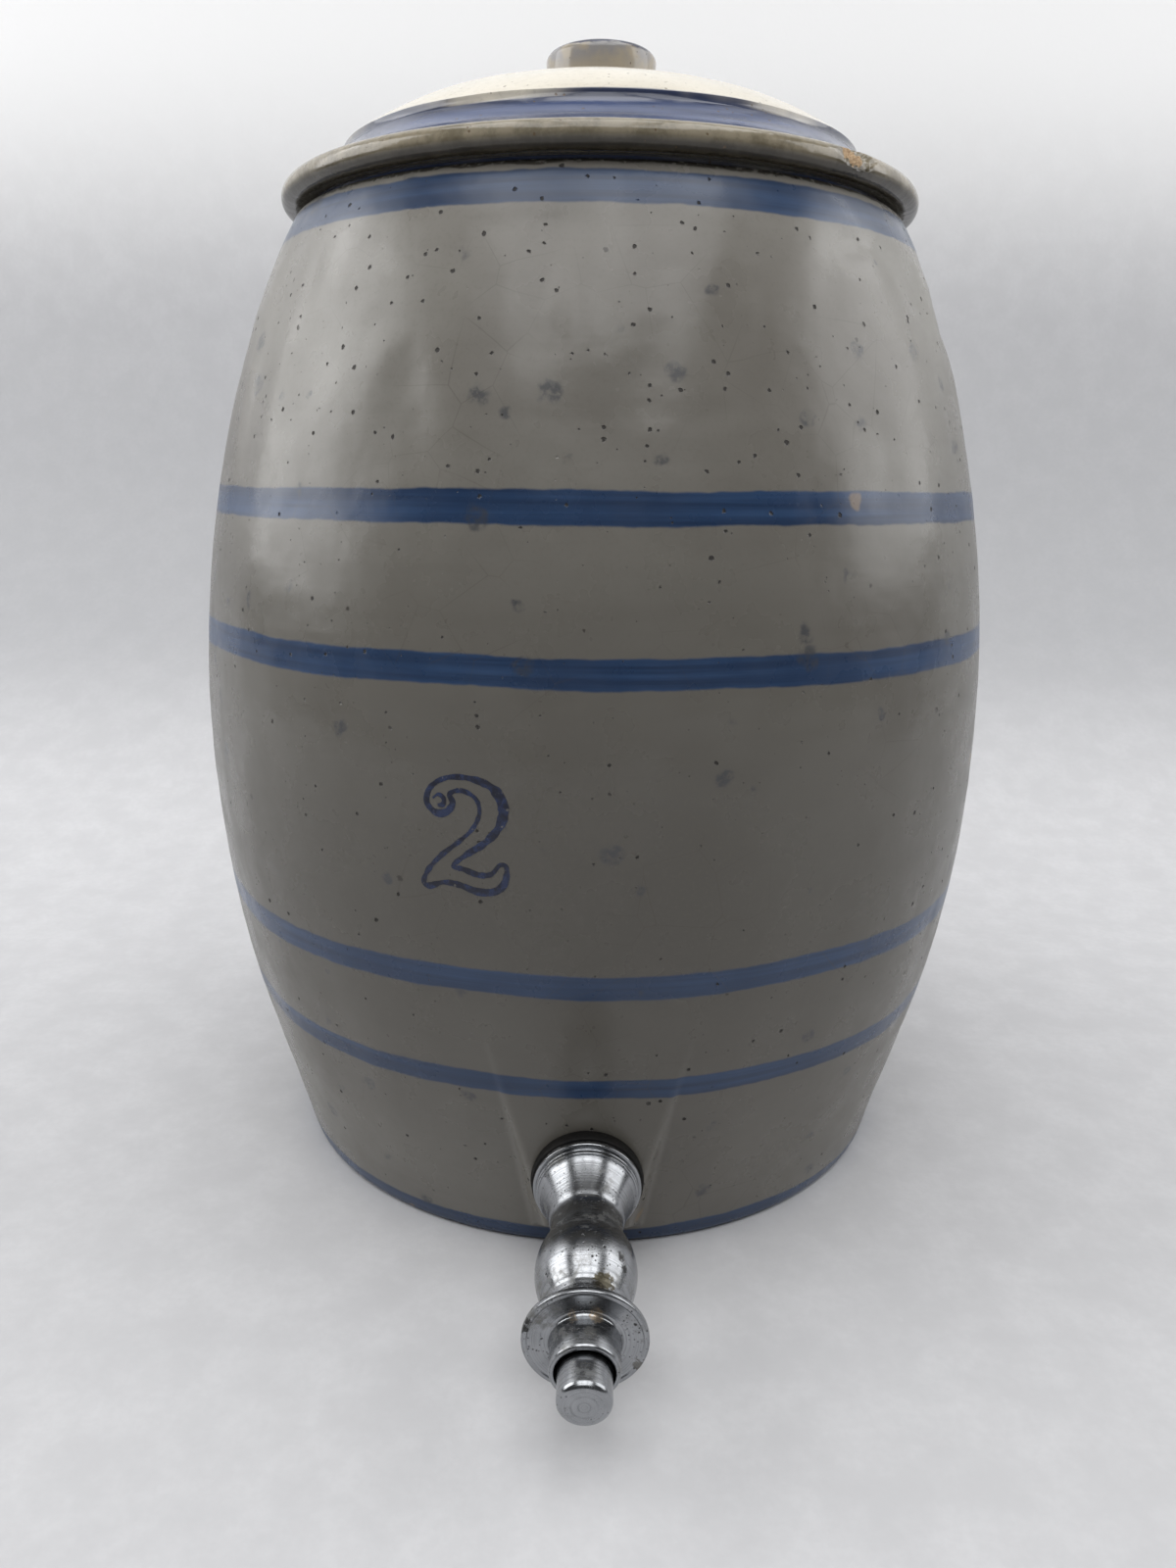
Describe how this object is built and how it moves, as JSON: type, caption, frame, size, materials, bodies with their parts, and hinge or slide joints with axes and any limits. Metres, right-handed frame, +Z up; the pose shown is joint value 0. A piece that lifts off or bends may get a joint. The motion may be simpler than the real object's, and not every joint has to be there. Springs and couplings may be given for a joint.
{
  "type": "stoneware water cooler with a push-button tap",
  "caption": "Barrel-shaped stoneware water cooler with banded glaze, a lift-off domed lid and a plated push-button tap.",
  "frame": {"origin": "centre of the foot on the crock's axis, on the surface that it stands on", "axes": "+Z up along the crock's axis; the tap points towards -Y and 5 degrees down; +X is to the right, seen from the front"},
  "size_m": [0.237, 0.2952, 0.32],
  "materials": {
    "glazed_stoneware": "glossy salt-grey glaze with blue bands",
    "glazed_stoneware_lid": "glossy cream glaze with a blue cove",
    "plated_brass": "worn bright plating on turned brass",
    "bare_brass": "turned",
    "black_rubber": "matte",
    "red_fibre": "matte",
    "waxed_packing": "waxed cotton",
    "spring_steel": "drawn wire"
  },
  "bodies": {
    "crock": {"crock": "glazed_stoneware", "outer_gasket": "black_rubber", "tap_body": "plated_brass", "spout": "plated_brass", "inner_gasket": "black_rubber", "shank_washer": "bare_brass", "shank_nut": "bare_brass", "valve_seat": "bare_brass", "bonnet": "plated_brass", "bonnet_gasket": "red_fibre", "stem_packing": "waxed_packing", "packing_gland": "bare_brass", "spring_washer": "bare_brass", "return_spring": "spring_steel"},
    "lid": {"lid": "glazed_stoneware_lid"},
    "button": {"push_button": "plated_brass", "valve_stem": "bare_brass", "disc_plate": "bare_brass", "seat_washer": "black_rubber", "disc_nut": "bare_brass"}
  },
  "joints": [
    {"name": "lid_lift", "type": "slide", "parent": "crock", "child": "lid", "axis": [0, 0, 1], "range_m": [0, 0.12]},
    {"name": "button_push", "type": "slide", "parent": "crock", "child": "button", "axis": [0, 0.9962, 0.0872], "range_m": [0, 0.0045], "stiffness_N_per_m": 600, "springref_m": -0.004, "deforming": ["return_spring"]}
  ]
}
